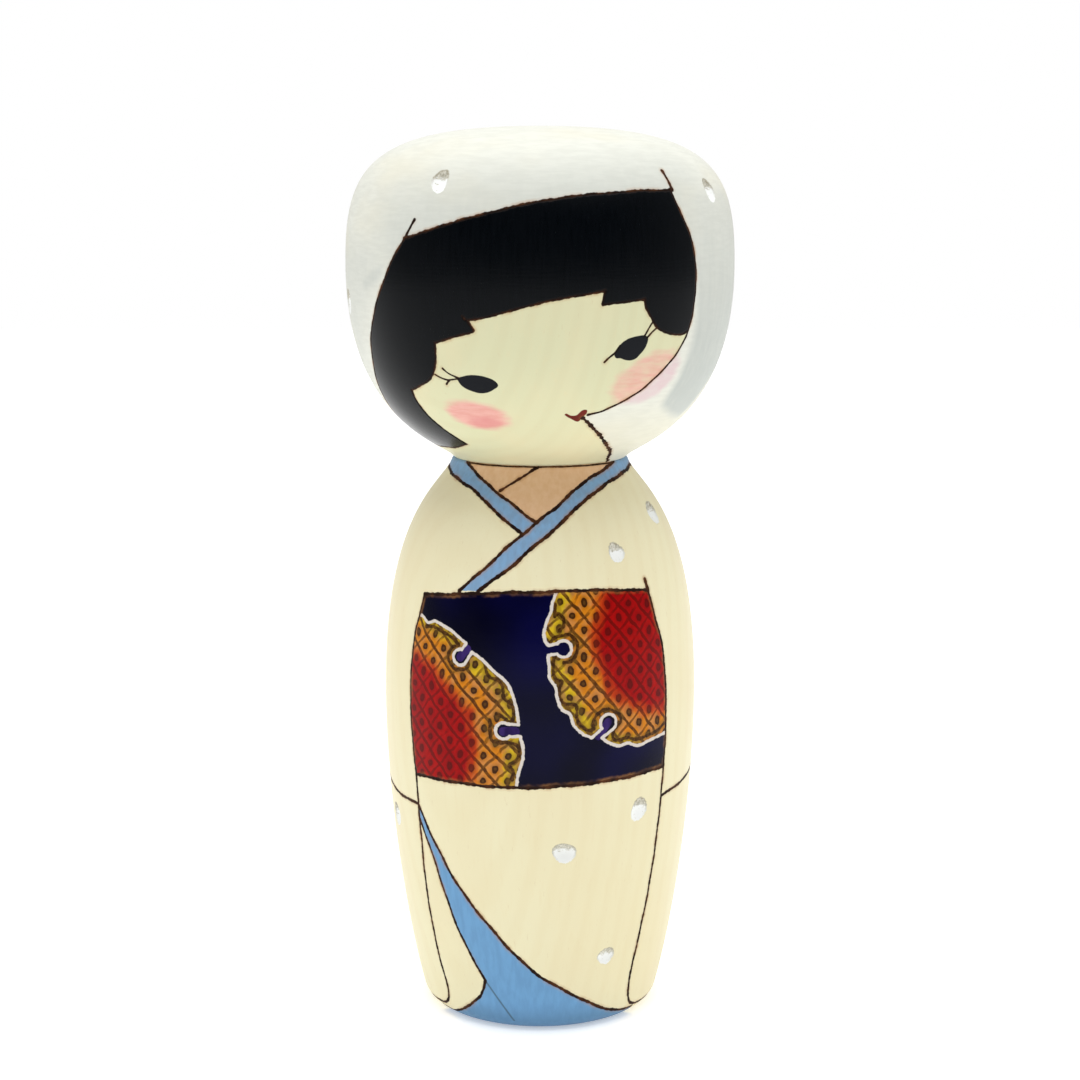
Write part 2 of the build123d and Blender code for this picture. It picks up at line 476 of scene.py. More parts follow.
def snow_rings(turned, fields, knot):
    """Snow-ring crests on the obi: a scalloped edge with round notches, filled with tie-dyed cells."""
    notch = 1.22
    left_edge = joined(
        smooth((-56, 64.4), (-49.2, 64), (-45.5, 63.2), (-41.9, 63.6), (-36.6, 63), (-33, 62.4), (-27.4, 61)),
        ring_arc((-29.5, 58.9), notch, 80, 325),
        smooth(
            (-24.8, 59.8), (-20.3, 58.7), (-16, 57.1), (-12.9, 56.2), (-10.4, 54.8), (-8.7, 52.7),
            (-7.9, 51.1), (-7.5, 49.5),
        ),
        ring_arc((-12.9, 48.5), notch, 60, 320),
        smooth((-6.9, 47.8), (-6.1, 46.2), (-6, 44.7), (-7, 43), (-7.8, 41.7), (-8.6, 39.6)),
    )
    right_edge = joined(
        smooth((7.6, 70.2), (4.9, 67.6), (4.1, 66.2), (2.5, 64.6), (1.5, 63.2), (1.9, 61.9), (3, 61.3)),
        ring_arc((8.4, 60.7), notch, 140, -145),
        smooth(
            (2.9, 59.8), (3.2, 58.2), (3.4, 56.5), (5.4, 55.3), (6.1, 53.6), (7.5, 51.9), (10.4, 51),
            (12, 49.3), (15, 48), (18.3, 47.3),
        ),
        ring_arc((24.6, 49.3), notch + 0.1, 215, -70),
        smooth(
            (22.2, 47.1), (24.5, 46.4), (28.8, 45.6), (32.5, 45.8), (36.9, 45.2), (41.5, 45.5), (49, 46),
            (56, 46.3),
        ),
    )
    left_ring = scalloped(turned, joined(left_edge, [(-8.6, 38), (-58, 38)]), left_edge)
    right_ring = scalloped(turned, joined(right_edge, [(58, 71), (8, 71)]), right_edge)
    fields["ring"] = np.maximum.reduce([left_ring, right_ring, turned.region(knot, 12.0) - 0.3])
    tongues = [
        smooth((-29.5, 58.9), (-28.1, 59.7), (-26.8, 60.2)),
        smooth((-12.9, 48.4), (-10.8, 48.5), (-8.6, 48.5)),
        smooth((24.4, 49.4), (22.8, 48.5), (20.9, 47.5)),
    ]
    # Distance in from the whole ring, as if it had no notches, for its bands of dye
    left_whole = smooth(
        (-56, 66), (-45, 65), (-33, 63), (-24, 59.8), (-16, 57.1), (-10, 54.6), (-7.8, 51), (-6.8, 47.5),
        (-6.3, 44), (-8.6, 39.6),
    )
    right_whole = smooth(
        (6, 70), (3.5, 66), (1.8, 62.5), (2.9, 58.5), (5.4, 55), (10, 51), (15, 48), (22, 46), (30, 44.4),
        (41, 43), (56, 42.6),
    )
    whole = [turned.nearest(w, 12.0)[0] for w in (left_whole, right_whole)]
    fields["dye"] = np.where(turned.drawn & (np.abs(turned.angle) < 90), np.minimum(*whole), fields["ring"])
    fields["tongue"] = np.maximum.reduce([0.66 - turned.nearest(t, REACH)[0] for t in tongues])
    # Brown contours drawn just inside the scallops, curling in at the notches
    curl = Strokes(turned, 23)
    curls = [
        (
            0.5, (-46, 62.6), (-42, 62.7), (-35, 61.9), (-30.3, 60.7), (-33.2, 60.1), (-34.7, 58.6),
            (-32.2, 57.2), (-28.5, 57.1), (-26.2, 57.6), (-26, 59.1), (-23.6, 59.5), (-20.4, 58.8),
            (-19, 57.1),
        ),
        (
            0.5, (-19.1, 57), (-17.5, 56.3), (-14.8, 56), (-12.8, 54.7), (-12.6, 53.4), (-9.6, 52.3),
            (-9.3, 50.7), (-10.5, 50), (-13, 50.6), (-15.2, 51),
        ),
        (
            0.52, (-17.7, 50), (-17.6, 47.7), (-16.2, 46.8), (-10.2, 46.7), (-7.6, 46.2), (-7.3, 45),
            (-9, 44), (-10.8, 43.4), (-9.3, 42.4), (-9.9, 41.2),
        ),
        (0.45, (5.6, 67.2), (5.2, 65.4), (6.8, 65.9), (8.6, 65.1), (8.5, 63.9), (7, 63.4)),
        (
            0.5, (3.4, 61.5), (5, 62.3), (7.6, 62.7), (10.8, 62.7), (13.2, 61.6), (13.2, 60.2), (11.4, 59),
            (8.4, 58.7),
        ),
        (
            0.5, (5, 59.7), (4.5, 58.4), (4.6, 57), (6, 56.1), (7.8, 55.9), (6.8, 54.8), (7, 53.6),
            (8.6, 52.6), (12.5, 52.3), (12.9, 50.6), (14.2, 49.3), (16.3, 48.6), (18.4, 48.4),
        ),
        (
            0.5, (18.9, 48.6), (19, 49.9), (20.6, 50.9), (23.5, 51.4), (26.5, 51), (29.3, 50.1), (29.5, 49.2),
            (27, 48.3), (26.2, 47.4), (27.5, 46.5), (32.5, 46.6), (36.9, 46.2), (42.8, 46.5), (46.8, 46.8),
            (50.3, 47.6),
        ),
    ]
    for width, *points in curls:
        curl.add(width, *points)
    fields["contour"] = curl.field
    # Cells of the tie-dye lattice: steps down-right and up-right, in millimetres, and one cell's middle
    lattices = [
        (-100, -3, (1.83, -1.88), (1.99, 2.03), (-32.1, 61.9)),
        (-3, 100, (1.83, -2.13), (2.02, 1.79), (20.9, 65)),
        (100, 260, (1.9, -1.9), (1.9, 1.9), (180, 56)),
    ]
    angle = np.where(turned.angle < -100, turned.angle + 360, turned.angle)
    cells = np.zeros((len(angle), 2))
    for low, high, down, up, middle in lattices:
        here = (angle >= low) & (angle < high)
        round_by = np.radians(angle - middle[0]) * BODY_RADIUS
        offset = np.column_stack([round_by, turned.height - middle[1]])[here]
        cells[here] = offset @ np.linalg.inv([down, up]) + 0.5
    fields["cell_a"], fields["cell_b"] = cells.T


def draw_head(turned):
    """Every burned line and painted area of the head, as fields at the mesh points."""
    burn = Strokes(turned, 17)
    hood_left = burn.add(
        0.42, (-37.6, 122.4), (-41, 119.8), (-47.5, 115.3), (-54, 110.2), (-59.7, 105.8), (-64, 101.7),
        (-70.4, 97), (-77, 93), (-82, 89.5), (-84, 86.3), uneven=0.12,
    )
    hair_top = burn.add(
        0.42, (-41, 119.8), (-36.6, 120.3), (-29.6, 121.4), (-17.6, 123), (-6, 124.4), (5, 125.4),
        (16.7, 126), (29.4, 126.4), (41, 126.5), uneven=0.25,
    )
    burn.add(0.5, (41.2, 129.2), (42.2, 126.6))
    hood_right = burn.add(
        0.38, (41.3, 126.6), (44.7, 122.3), (48, 118.9), (49.3, 114.5), (49.2, 110.7), (48.1, 107.1),
        (46.2, 104.6), (43, 102.4), (38.2, 100), (33.5, 98.1), (28, 96.6), (22, 95.4), (16.8, 94.8),
        uneven=0.1,
    )
    chin = burn.add(
        0.56, (15.2, 94.3), (17.9, 93.5), (21.4, 92.35), (26, 91), (31.7, 89.7), (38.5, 88.4), (49, 86.4),
        uneven=0.3,
    )
    fringe = burn.add(
        0.4, (-21.9, 109.1), (-20.8, 108.6), (-13.6, 109.2), (-2.4, 110.8), (8.4, 111.9), (18, 112.7),
        uneven=0.2, waver=0.04,
    )
    notch = joined(smooth((18, 112.7), (17.4, 110.9)), smooth((17.5, 110.8), (22.4, 111), (30.2, 111.4)))
    notch_right = burn.add(0.4, path=notch, waver=0.03)
    lock_right = burn.add(
        0.38, (30.2, 111.4), (30.8, 110.2), (32.7, 108.8), (35.2, 107.3), (39.2, 106.5), (44.4, 106.1),
        (47.5, 106.5), waver=0.03,
    )
    notch = joined(
        smooth((-21.9, 109.1), (-20.6, 108.5), (-18.8, 107.15)),
        smooth((-18.9, 107), (-19.9, 106.8), (-24.7, 106.2), (-31.6, 105.2)),
    )
    notch_left = burn.add(0.4, path=notch, waver=0.03)
    lock_left = burn.add(
        0.38, (-31.6, 105.2), (-31.9, 103.6), (-32.6, 102.2), (-34.9, 100.4), (-38.6, 99.2), (-46.1, 97.9),
        waver=0.03,
    )
    hair_tail = burn.add(
        0.38, (-46.1, 97.9), (-46.2, 96.3), (-44.7, 94.1), (-40.9, 91.9), (-35.5, 89.7), waver=0.03
    )
    tail_end = burn.add(0.4, (-35.5, 89.7), (-45, 88.85), (-55, 88.6), (-66, 88.4), (-82.5, 88.6))
    # Lashes and the thin line that ends each eye
    fine = {"uneven": 0.1, "waver": 0.0, "heavy": 0.03}
    burn.add(0.28, (-25.4, 100.15), (-28.6, 100.8), (-30.4, 101.5), **fine)
    burn.add(0.28, (-25.4, 100.1), (-27.2, 99.97), (-29.5, 99.85), (-31.7, 100.1), (-33.7, 100.55), **fine)
    burn.add(0.28, (-29, 99.8), (-30.3, 99.2), **fine)
    burn.add(0.28, (31, 106.1), (32.2, 107.2), (33.2, 108), **fine)
    burn.add(0.28, (32, 105.9), (33.6, 106.7), (35.1, 107.3), **fine)
    burn.add(0.3, (19.1, 102.6), (20.3, 103.2), (22, 103.9), (23.4, 104.9), **fine)
    # Hood seam and folds at the back, where the cloth is gathered
    burn.add(0.45, (180, 134.5), (179.5, 120), (180.5, 104), (180, 86.4), uneven=0.2)
    burn.add(0.4, (168, 87), (160, 93), (148, 98.5), uneven=0.2)
    burn.add(0.4, (-166, 87), (-157, 94), (-144, 100.5), uneven=0.2)

    fields = {"burn": burn.field}
    left_side = hood_left[hood_left[:, 1] < 119.8][::-1]
    hair = joined(
        hair_top,
        hood_right[hood_right[:, 1] > 106.6],
        lock_right[::-1],
        notch_right[::-1],
        fringe[::-1],
        notch_left,
        lock_left,
        hair_tail,
        tail_end,
        left_side[left_side[:, 1] > 88.6],
    )
    opening = joined(left_side, hair_top, hood_right, chin, [(50, NECK - 1), (-84, NECK - 1)])
    fields["hair"] = turned.region(hair)
    fields["hood"] = np.where(turned.drawn, -turned.region(opening), -REACH)
    left_eye = smooth(
        (-26.2, 100.15), (-24.8, 100.35), (-22.3, 100.65), (-19.8, 100.72), (-17.5, 100.6), (-15.2, 100.3),
        (-13.7, 99.9), (-12.95, 99.45), (-13.2, 99.05), (-14.5, 98.65), (-16.2, 98.25), (-18.4, 98.05),
        (-20.4, 98.12), (-22.4, 98.4), (-24.1, 98.75), (-25.3, 99.25), (-25.9, 99.8), (-26.2, 100.15),
    )
    right_eye = smooth(
        (21.8, 103.6), (23.4, 105), (25.2, 105.75), (27.5, 106.1), (29.9, 106.28), (31.6, 106.2),
        (32.4, 105.85), (32.4, 105.25), (31.8, 104.45), (30.7, 103.7), (29.3, 103.02), (27.7, 102.74),
        (26, 102.78), (24.3, 103.05), (22.6, 103.15), (21.8, 103.6),
    )
    fields["eyes"] = np.maximum(turned.region(left_eye), turned.region(right_eye))
    lips = smooth(
        (8.4, 94.9), (9, 95.08), (10.8, 94.75), (12.6, 94.8), (13.5, 95.2), (14.2, 95.5), (15.2, 95.65),
        (16.1, 95.5), (16.1, 95), (15.3, 94.6), (14.6, 94.2), (13.9, 93.82), (12.7, 93.86), (11, 94.22),
        (9.5, 94.55), (8.4, 94.9),
    )
    fields["lips"] = turned.region(lips)
    # Cheeks: soft brushed ovals, the left one heavier at its lower end
    faint = np.minimum(oval(turned, (35.2, 99.9), 7.0, 4.5, 26), 0.26)
    fields["blush"] = np.maximum(oval(turned, (-22.6, 94.5), 6.0, 3.3, -11), faint)
    fields["blush_low"] = oval(turned, (-19.5, 93.3), 3.8, 2.2, -11)
    # Grey washes on the hood: a broad one down its right edge, fainter ones at the left and behind, and
    # painted shade above the fringe
    right_wash = smooth(
        (43, 125.8), (62, 127), (95, 125), (122, 118), (118, 108), (96, 102), (78, 98.5), (70, 93.6),
        (60, 93.4), (51, 94.6), (46.5, 96), (48.6, 99.6), (50.2, 104.2), (50.4, 109.5), (49, 115),
        (45, 121.5), (43, 125.8),
    )
    left_wash = smooth(
        (-41, 120.9), (-52, 121), (-68, 121.4), (-100, 118), (-118, 106), (-96, 96), (-76, 93.6), (-71, 97),
        (-64, 101.7), (-57, 108), (-47, 115.3), (-41, 120.9),
    )
    corner = smooth((-48, 116.6), (-55, 116), (-63, 113.6), (-60, 111.6), (-51, 113.4), (-48, 116.6))
    behind = turned.nearest(smooth((150, 96), (165, 104), (178, 118)), 4.0)[0]
    lower = np.interp(turned.height, (98, 110, 127), (1.0, 0.75, 0.25))
    washes_and_shade = [
        np.clip(turned.region(right_wash, 3.0) / 1.6 + 0.4, 0, 1) * lower,
        np.clip(turned.region(left_wash, 5.0) / 5, 0, 1) * 0.35,
        np.clip(turned.region(corner, 3.0) / 1.6 + 0.2, 0, 1) * 0.6,
    ]
    # Painted shade above the fringe: darkest at the hair line, fading out about 10 mm higher towards the top
    # of the head
    over_fringe = turned.nearest(hair_top, 11.0)[0]
    washes_and_shade += [0.5 * np.clip(1 - over_fringe / 10.5, 0, 1), 0.35 * np.clip(2.2 - behind, 0, 1)]
    # The washes and the painted shade at the sides fade out before the back, where the one behind stays whole
    turn = np.abs(turned.angle)
    fields["shade"] = np.maximum.reduce(washes_and_shade) * (np.clip((118 - turn) / 34, 0, 1) + (turn > 130))
    return fields, ("eyes", "lips")


def oval(turned, middle, half_length, half_height, tilt):
    """1 at the middle of a tilted oval, 0 at its edge and less outside."""
    offset, distance, across, up = turned.seen_from(middle)
    x, y = offset @ across, offset @ up
    turn = math.radians(tilt)
    u = (x * math.cos(turn) + y * math.sin(turn)) / half_length
    v = (y * math.cos(turn) - x * math.sin(turn)) / half_height
    return np.where(distance > 3 * half_length, -1.0, np.maximum(1 - np.hypot(u, v), -1.0))


# ---- meshes
def make_piece(turned, draw, scoops, material):
    """Draws on a turned piece, finer where there is detail, and cuts its grooves and scoops."""
    for reach in (1.0, 0.5):
        fields, edges = draw(turned)
        details = [fields["burn"], -snow(turned, scoops)[1]] + [np.abs(fields[e]) for e in edges]
        turned.refine(turned.drawn & (np.minimum.reduce(details) < reach))
    fields, _ = draw(turned)
    depth, fields["snow"], fields["snow_rise"] = snow(turned, scoops)
    groove = GROOVE_DEPTH * np.clip(-fields["burn"] / GROOVE_EDGE, 0, 1)
    cut = np.where(turned.drawn, groove + depth, 0)
    point = (turned.point - turned.out * cut[:, None]) * MM
    mesh = turned.mesh
    mesh.vertices.foreach_set("co", point.astype(np.float32).ravel())
    for name, values in fields.items():
        mesh.attributes.new(name, "FLOAT", "POINT").data.foreach_set("value", values.astype(np.float32))
    mesh.polygons.foreach_set("use_smooth", np.ones(len(mesh.polygons), bool))
    mesh.materials.append(material)
    mesh.update()
    piece = bpy.data.objects.new(mesh.name, mesh)
    bpy.context.scene.collection.objects.link(piece)
    return piece


# ---- materials
def colour(red, green, blue):
    """A scene colour from the usual 0 to 255 screen values."""
    def linear(c):
        c /= 255
        return c / 12.92 if c <= 0.04045 else ((c + 0.055) / 1.055) ** 2.4
    return (linear(red), linear(green), linear(blue), 1.0)


def new_material(name, gloss=0.17):
    """A fresh material and its painter. gloss is how strongly the surface mirrors, 0.5 being glass."""
    material = bpy.data.materials.new(name)
    material.use_nodes = True
    painter = Painter(material.node_tree)
    painter.shader.inputs["Specular IOR Level"].default_value = gloss
    return material, painter


class Painter:
    """Builds the nodes of a material or of the surroundings, one short call for each."""

    def __init__(self, tree):
        self.tree = tree
        self.shader = tree.nodes.get("Principled BSDF")
        self.coordinates = self.add("ShaderNodeTexCoord")
        scale = self.add("ShaderNodeVectorMath")
        scale.operation = "SCALE"
        scale.inputs["Scale"].default_value = 1 / MM
        self.put(self.coordinates.outputs["Object"], scale.inputs[0])
        self.place = scale.outputs[0]

    def add(self, kind):
        return self.tree.nodes.new(kind)

    def put(self, value, socket):
        """Gives a socket its link, its number or its colour."""
        if isinstance(value, bpy.types.NodeSocket):
            self.tree.links.new(value, socket)
        else:
            socket.default_value = colour(*value) if isinstance(value, tuple) else value

    def field(self, name):
        node = self.add("ShaderNodeAttribute")
        node.attribute_name = name
        return node.outputs["Fac"]

    def math(self, operation, a, b=0.0):
        node = self.add("ShaderNodeMath")
        node.operation = operation
        self.put(a, node.inputs[0])
        self.put(b, node.inputs[1])
        return node.outputs[0]

    def times(self, a, b):
        return self.math("MULTIPLY", a, b)

    def jitter(self, value, noise, size):
        """A value moved up and down by noise, through this much in all."""
        return self.math("ADD", value, self.times(self.math("SUBTRACT", noise, 0.5), size))

    def height(self):
        """Millimetres above the base."""
        split = self.add("ShaderNodeSeparateXYZ")
        self.put(self.place, split.inputs[0])
        return split.outputs["Z"]

    def area(self, name):
        """Coverage of a painted area, whose edge wanders a little as a brush does."""
        return self.between(self.jitter(self.field(name), self.noise(0.8, detail=2.0), 0.1), -0.05, 0.05)

    def between(self, value, low, high):
        """0 below low, 1 above high, and smooth between. low may be above high."""
        node = self.add("ShaderNodeMapRange")
        node.interpolation_type = "SMOOTHSTEP"
        self.put(value, node.inputs["Value"])
        if low > high:
            low, high = high, low
            node.inputs["To Min"].default_value = 1.0
            node.inputs["To Max"].default_value = 0.0
        node.inputs["From Min"].default_value = low
        node.inputs["From Max"].default_value = high
        return node.outputs["Result"]

    def mix(self, factor, first, second, kind="RGBA"):
        """A blend from the first colour to the second."""
        node = self.add("ShaderNodeMix")
        node.data_type = kind
        for name, value in (("Factor", factor), ("A", first), ("B", second)):
            self.put(value, node.inputs[name])
        return node.outputs["Result"]

    def mix_value(self, factor, first, second):
        return self.mix(factor, first, second, "FLOAT")

    def noise(self, size, stretch=(1, 1, 1), detail=3.0, roughness=0.55, shift=0.0):
        """Noise from 0 to 1 whose patches are about this many millimetres, stretched along each axis."""
        mapping = self.add("ShaderNodeMapping")
        mapping.inputs["Scale"].default_value = tuple(1 / (size * s) for s in stretch)
        mapping.inputs["Location"].default_value = (shift, shift * 0.7, shift * 1.3)
        self.put(self.place, mapping.inputs["Vector"])
        node = self.add("ShaderNodeTexNoise")
        node.inputs["Scale"].default_value = 1.0
        node.inputs["Detail"].default_value = detail
        node.inputs["Roughness"].default_value = roughness
        self.put(mapping.outputs[0], node.inputs["Vector"])
        return node.outputs["Fac"]

    def rings(self):
        """Growth rings of the billet the piece was turned from, whose pith lay well off the axis."""
        mapping = self.add("ShaderNodeMapping")
        mapping.inputs["Location"].default_value = (31.0, 46.0, 0.0)
        mapping.inputs["Rotation"].default_value = (math.radians(2.5), math.radians(-3.0), 0)
        self.put(self.place, mapping.inputs["Vector"])
        node = self.add("ShaderNodeTexWave")
        node.wave_type = "RINGS"
        node.rings_direction = "Z"
        node.inputs["Scale"].default_value = 0.11
        node.inputs["Distortion"].default_value = 5.0
        node.inputs["Detail"].default_value = 3.0
        node.inputs["Detail Scale"].default_value = 0.25
        self.put(mapping.outputs[0], node.inputs["Vector"])
        return node.outputs["Fac"]

    def finish(self, sheen, groove):
        """How rough the lacquer is: duller in burned grooves and snow, and unevenly rubbed."""
        dull = self.math("MAXIMUM", groove, self.between(self.field("snow"), -0.05, 0.1))
        rough = self.jitter(self.mix_value(dull, sheen, 0.55), self.noise(3.0), 0.12)
        self.put(rough, self.shader.inputs["Roughness"])

    def grain(self, fibres, size):
        """The faint relief of fibres and of turning marks this fine under the lacquer."""
        marks = self.noise(size, (14, 14, 1), detail=2.0)
        self.bump(self.math("ADD", self.times(fibres, 0.25), marks), 0.007)

    def bump(self, height, distance):
        """Fine relief, its distance in millimetres."""
        node = self.add("ShaderNodeBump")
        node.inputs["Distance"].default_value = distance * MM
        self.put(height, node.inputs["Height"])
        self.put(node.outputs[0], self.shader.inputs["Normal"])


def wood(p, pale=(230, 223, 188), deep=(226, 216, 178)):
    """Pale close-grained wood: faint rings, long fibres and short flecks."""
    tone = p.mix(p.times(p.between(p.rings(), 0.3, 1.0), 0.35), pale, deep)
    cloud = p.noise(14, (1, 1, 2.0), detail=2.0)
    tone = p.mix(p.times(p.between(cloud, 0.35, 0.75), 0.5), tone, (226, 213, 174))
    fibres = p.noise(0.55, (1, 1, 16), detail=4.0, roughness=0.6)
    tone = p.mix(p.times(p.between(fibres, 0.5, 0.8), 0.2), tone, (222, 206, 162))
    flecks = p.noise(0.35, (1, 1, 5), detail=2.0, shift=7.0)
    tone = p.mix(p.times(p.between(flecks, 0.66, 0.78), 0.2), tone, (196, 168, 124))
    return tone, fibres


def burned(p, under, covered=None):
    """Burned line work: a brown core that varies in depth, and a scorched edge but not where covered."""
    burn = p.field("burn")
    grit = p.noise(0.28, shift=3.0)
    edge = p.jitter(burn, grit, 0.08)
    patch = p.noise(2.4, detail=2.0, shift=11.0)
    halo = p.times(p.between(edge, 0.5, 0.02), p.between(patch, 0.3, 0.8))
    core = p.mix(p.between(patch, 0.38, 0.7), (34, 17, 10), (80, 46, 24))
    core = p.mix(p.between(grit, 0.55, 0.75), core, (18, 8, 5))
    if covered is not None:
        halo = p.times(halo, p.between(covered, 0.7, 0.1))
        core = p.mix(p.times(covered, 0.85), core, (14, 8, 7))
    tone = p.mix(p.times(halo, 0.5), under, (176, 122, 64))
    return p.mix(p.between(edge, 0.06, -0.05), tone, core), p.between(burn, 0.1, -0.1)


def snowed(p, under):
    """Scoops of snow: torn fibres with painted shade at the top, a dark rim with painted shadow along its
    upper edge, and white paint that thickens towards the bottom.
    """
    rim = p.field("snow")
    rise = p.field("snow_rise")
    fibres = p.noise(0.2, (1, 1, 3.0), detail=2.0, shift=5.0)
    crumbs = p.noise(0.34, (1.6, 1.6, 1), shift=15.0)
    # Grey of the upper part: torn fibres, and painted shade where the scoop's upper wall hides the light
    torn_and_shaded = p.mix(p.between(fibres, 0.35, 0.65), (162, 158, 142), (214, 211, 198))
    paint = p.mix(p.between(crumbs, 0.6, 0.72), (240, 242, 240), (196, 194, 182))
    painted = p.between(p.jitter(p.jitter(rise, fibres, 0.7), crumbs, 1.1), 0.45, 0.05)
    inside = p.mix(painted, torn_and_shaded, paint)
    ragged = p.jitter(p.jitter(rim, fibres, 0.25), crumbs, 0.45)
    off_rim = p.math("ABSOLUTE", p.math("SUBTRACT", ragged, 0.1))
    # A dark rim round the scoop, heaviest along its upper edge, where it is painted shadow
    lip = p.times(p.between(off_rim, 0.2, 0.0), p.between(rise, -0.9, 0.3))
    tone = p.mix(p.between(ragged, -0.05, 0.08), under, inside)
    return p.mix(p.times(lip, 0.45), tone, (140, 130, 104))


def body_material():
    material, p = new_material("body_paint", gloss=0.08)
    tone, fibres = wood(p)
    streak = p.noise(0.8, (1, 1, 6), shift=2.0)
    brushed = p.between(streak, 0.3, 0.7)
    skin = p.mix(brushed, (220, 182, 144), (214, 172, 132))
    tone = p.mix(p.times(p.area("skin"), 0.95), tone, skin)
    tone = p.mix(p.area("collar"), tone, p.mix(brushed, (126, 165, 202), (122, 154, 186)))
    blue = p.mix(brushed, (110, 158, 200), (104, 149, 190))
    # Painted shade: the blue darkens towards the bottom, near the floor
    blue = p.mix(p.times(p.between(p.height(), 5.0, 0.8), 0.5), blue, (84, 114, 138))
    tone = p.mix(p.area("underskirt"), tone, blue)
    tone = p.mix(p.times(p.between(p.field("fold"), 0.08, -0.06), 0.7), tone, (70, 88, 96))
    obi = p.area("obi")
    tone = p.mix(obi, tone, obi_cloth(p))
    tone, groove = burned(p, tone)
    p.put(snowed(p, tone), p.shader.inputs["Base Color"])
    p.finish(p.mix_value(obi, 0.36, 0.24), groove)
    p.grain(fibres, 0.35)
    return material


def obi_cloth(p):
    """Deep navy with purple tongues, and the white-edged rings with their dyed cells."""
    ring = p.field("ring")
    brush = p.noise(1.6, (1, 1, 3), shift=9.0)
    grain = p.noise(0.5, shift=6.0)
    patch = p.noise(1.8, detail=2.0, shift=13.0)
    navy = p.mix(p.between(p.noise(14, detail=1.0), 0.3, 0.75), (2, 2, 22), (6, 6, 56))
    tongue = p.mix(p.between(brush, 0.35, 0.65), (30, 14, 68), (54, 36, 98))
    tone = p.mix(p.between(p.field("tongue"), -0.05, 0.05), navy, tongue)
    ragged = p.jitter(p.jitter(ring, grain, 0.3), patch, 0.25)
    white = p.mix(grain, (196, 188, 184), (222, 214, 202))
    tone = p.mix(p.between(ragged, -0.3, -0.2), tone, white)
    # Dye inside: yellow and tan at the scalloped edge, then orange, then red
    reach = p.jitter(p.field("dye"), p.noise(1.3, (1, 1, 2.5)), 2.4)
    yellow = p.mix(p.between(patch, 0.42, 0.62), (206, 172, 30), (176, 132, 62))
    orange = p.mix(p.between(patch, 0.4, 0.65), (202, 122, 22), (196, 128, 62))
    red = p.mix(p.between(brush, 0.3, 0.7), (164, 8, 6), (146, 4, 8))
    dye = p.mix(p.between(reach, 1.8, 3.4), yellow, orange)
    dye = p.mix(p.between(reach, 5.6, 7.4), dye, (186, 66, 18))
    dye = p.mix(p.between(reach, 6.6, 8.8), dye, red)
    reddened = p.between(reach, 5.5, 8.0)
    # Lattice of cells, each with a dot
    warp = p.jitter(0.0, p.noise(2.6, detail=2.0), 0.4)
    a = p.math("SUBTRACT", p.math("FRACT", p.math("ADD", p.field("cell_a"), warp)), 0.5)
    b = p.math("SUBTRACT", p.math("FRACT", p.math("SUBTRACT", p.field("cell_b"), warp)), 0.5)
    strong = p.between(p.jitter(p.math("ABSOLUTE", b), grain, 0.06), 0.385, 0.425)
    weak = p.between(p.jitter(p.math("ABSOLUTE", a), grain, 0.08), 0.4, 0.45)
    weak = p.times(weak, p.between(patch, 0.25, 0.5))
    lines = p.math("MAXIMUM", strong, p.times(weak, 0.85))
    brown = p.mix(p.between(grain, 0.42, 0.68), (54, 28, 7), (104, 62, 16))
    brown = p.mix(reddened, brown, (88, 8, 5))
    dye = p.mix(p.times(lines, p.mix_value(reddened, 0.92, 0.75)), dye, brown)
    wide = p.times(p.math("ADD", a, b), 1 / 0.27)
    tall = p.times(p.math("SUBTRACT", b, a), 1 / 0.32)
    heart = p.math("SQRT", p.math("ADD", p.times(wide, wide), p.times(tall, tall)))
    heart = p.jitter(heart, grain, 0.5)
    dot = p.mix(reddened, (46, 24, 9), (76, 8, 7))
    core = p.mix(reddened, (112, 76, 30), (108, 8, 8))
    dye = p.mix(p.times(p.between(heart, 2.0, 0.9), 0.3), dye, dot)
    dye = p.mix(p.times(p.between(heart, 1.1, 0.9), p.mix_value(reddened, 0.95, 0.75)), dye, dot)
    dye = p.mix(p.times(p.between(heart, 0.55, 0.3), 0.4), dye, core)
    near = p.times(p.between(p.jitter(p.field("contour"), patch, 0.9), 0.75, 0.0), 0.5)
    dye = p.mix(near, dye, (112, 84, 30))
    contour = p.between(p.jitter(p.field("contour"), grain, 0.2), 0.07, -0.05)
    sepia = p.mix(p.between(grain, 0.4, 0.7), (44, 22, 7), (92, 58, 20))
    dye = p.mix(p.times(contour, 0.92), dye, sepia)
    return p.mix(p.between(ragged, 0.17, 0.26), tone, dye)


